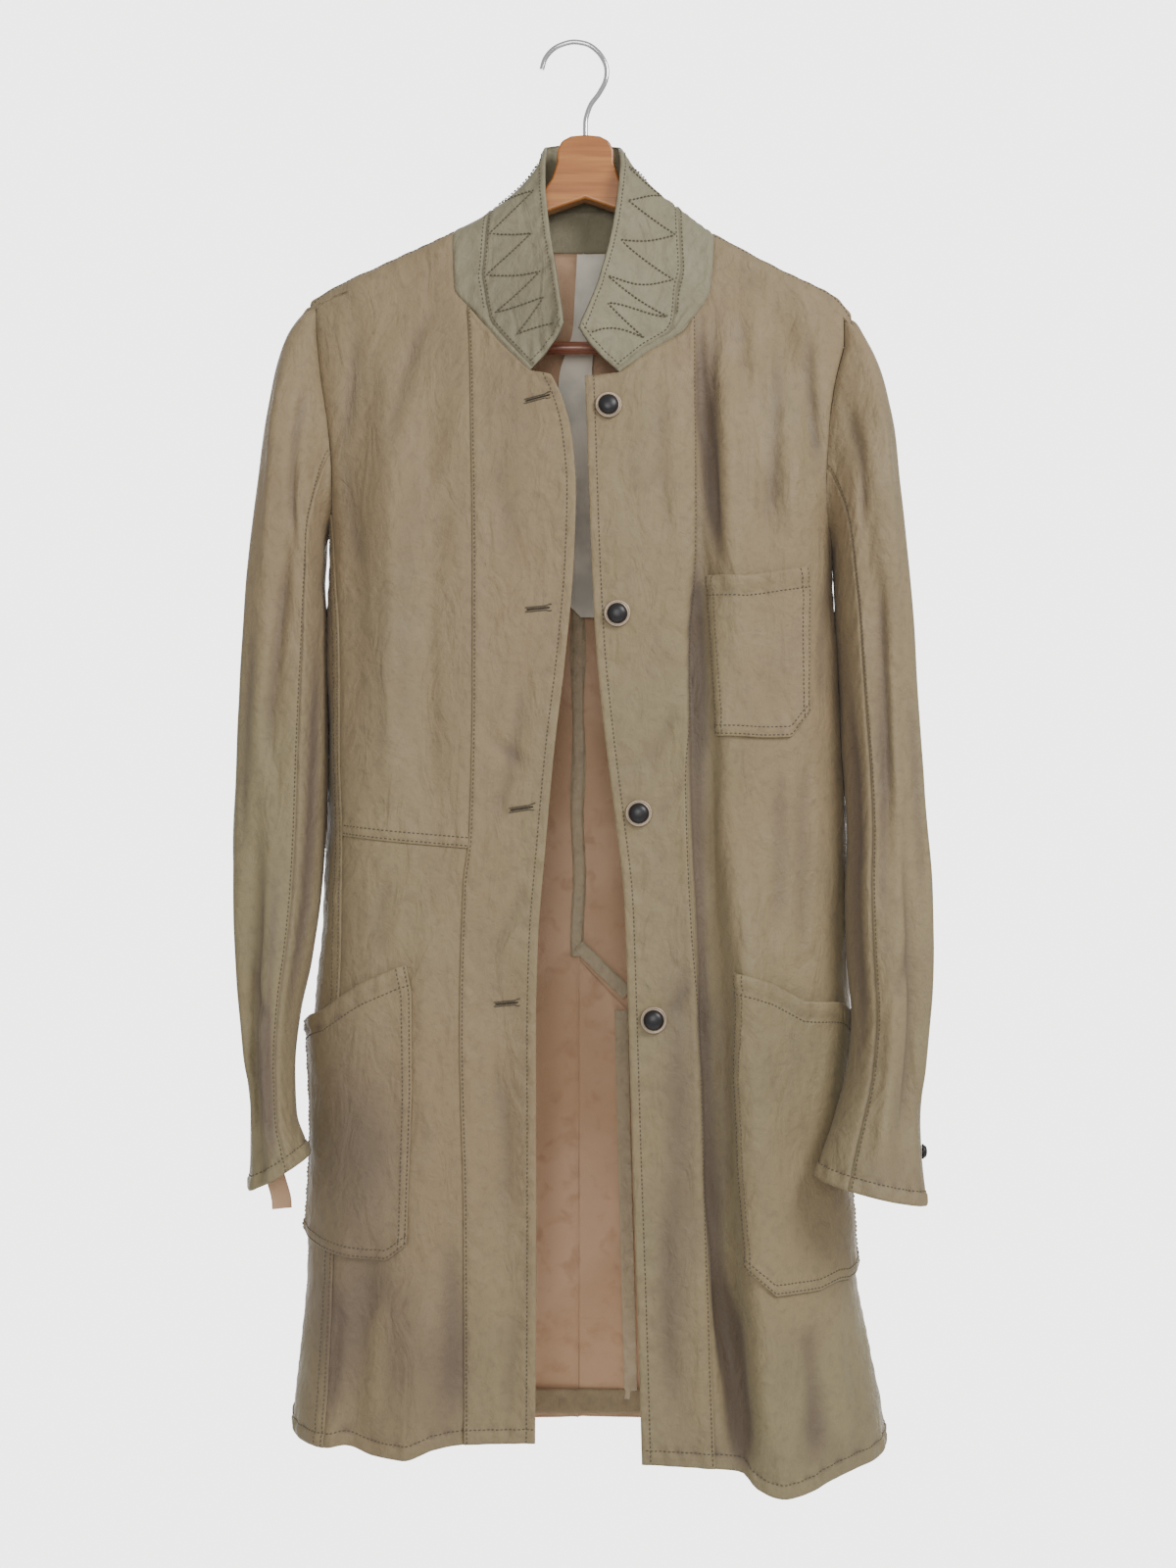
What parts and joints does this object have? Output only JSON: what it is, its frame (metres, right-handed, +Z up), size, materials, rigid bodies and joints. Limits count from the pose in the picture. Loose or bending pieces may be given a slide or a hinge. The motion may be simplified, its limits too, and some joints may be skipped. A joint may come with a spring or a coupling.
{
  "type": "leather coat on wooden hanger",
  "caption": "Unlined leather work coat with a stand-up collar, patch pockets and a back vent, hanging open on a wooden suit hanger with a wire hook.",
  "frame": {"origin": "inside top of the hanger's hook, where the pin or rail that holds it touches", "axes": "+Z up, front of the coat towards -Y, the wearer's left towards +X"},
  "size_m": [0.5208, 0.1619, 1.0835],
  "materials": {
    "leather": "matt glove leather, khaki olive, softly creased",
    "collar_leather": "matt glove leather, greener khaki, stitched in zigzag",
    "suede_side": "flesh side of the leather, tan pink, napped",
    "cotton_tape": "off-white woven cotton",
    "button": "near black dome in a dull metal rim",
    "hanger_wood": "orange-brown varnished beech",
    "bar_wood": "red-brown varnished beech",
    "hook_chrome": "bright plated steel wire"
  },
  "bodies": {
    "root": {"front_band_right": "leather", "front_upper_right": "leather", "front_lower_right": "leather", "side_right": "leather", "front_band_left": "leather", "front_left": "leather", "back_right": "leather", "back_left": "leather", "back_vent_flap": "suede_side", "neck_label": "cotton_tape", "pocket_chest": "leather", "pocket_lower_right": "leather", "pocket_lower_left": "leather", "collar_stand": "collar_leather", "collar_leaf": "collar_leather", "sleeve_upper_right": "leather", "sleeve_under_right": "leather", "sleeve_upper_left": "leather", "sleeve_under_left": "leather", "cuff_tab_right": "leather", "button_1": "button", "button_2": "button", "button_3": "button", "button_4": "button", "cuff_button_left": "button", "hanger_board": "hanger_wood", "hanger_bar": "bar_wood", "hanger_hook": "hook_chrome"}
  },
  "joints": []
}
